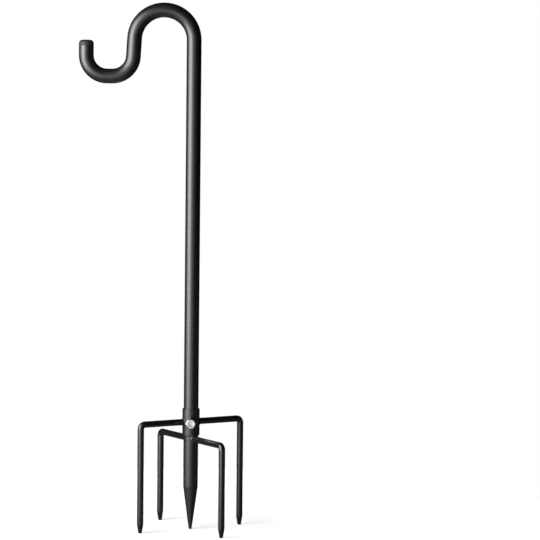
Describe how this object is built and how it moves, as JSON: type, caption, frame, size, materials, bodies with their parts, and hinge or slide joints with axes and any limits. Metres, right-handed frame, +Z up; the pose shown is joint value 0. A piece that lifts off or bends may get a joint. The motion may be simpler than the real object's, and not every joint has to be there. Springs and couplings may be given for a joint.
{
  "type": "hanging plant stand",
  "caption": "Black tube hook on a pronged ground spike: the pole plugs into a collar with a clamp screw, and a hanging pot's ring sits in the upturned cradle.",
  "frame": {"origin": "centre of the middle spike's blunt tip, on the pole's axis", "axes": "+Z up along the pole; the hook reaches towards -X; the clamp screw faces -Y"},
  "size_m": [0.1809, 0.123, 0.57],
  "materials": {
    "black_coat": "satin",
    "black_plastic": "matte",
    "zinc": "bright zinc"
  },
  "bodies": {
    "ground_spike": {"socket_collar": "black_coat", "clamp_nut": "black_coat", "spike_tube": "black_coat", "spike_point": "black_coat", "upper_left_prong": "black_coat", "upper_right_prong": "black_coat", "lower_front_prong": "black_coat", "lower_back_prong": "black_coat", "upper_left_weld": "black_coat", "upper_right_weld": "black_coat", "lower_front_weld": "black_coat", "lower_back_weld": "black_coat", "collar_weld": "black_coat", "nut_weld": "black_coat"},
    "hook": {"hook_pole": "black_coat", "hook_end_cap": "black_plastic"},
    "screw": {"clamp_screw": "zinc"}
  },
  "joints": [
    {"name": "hook_lift", "type": "slide", "parent": "ground_spike", "child": "hook", "axis": [0, 0, 1], "range_m": [0, 0.05]},
    {"name": "screw_travel", "type": "slide", "parent": "ground_spike", "child": "screw", "axis": [0, -1, 0], "range_m": [0, 0.005]}
  ]
}
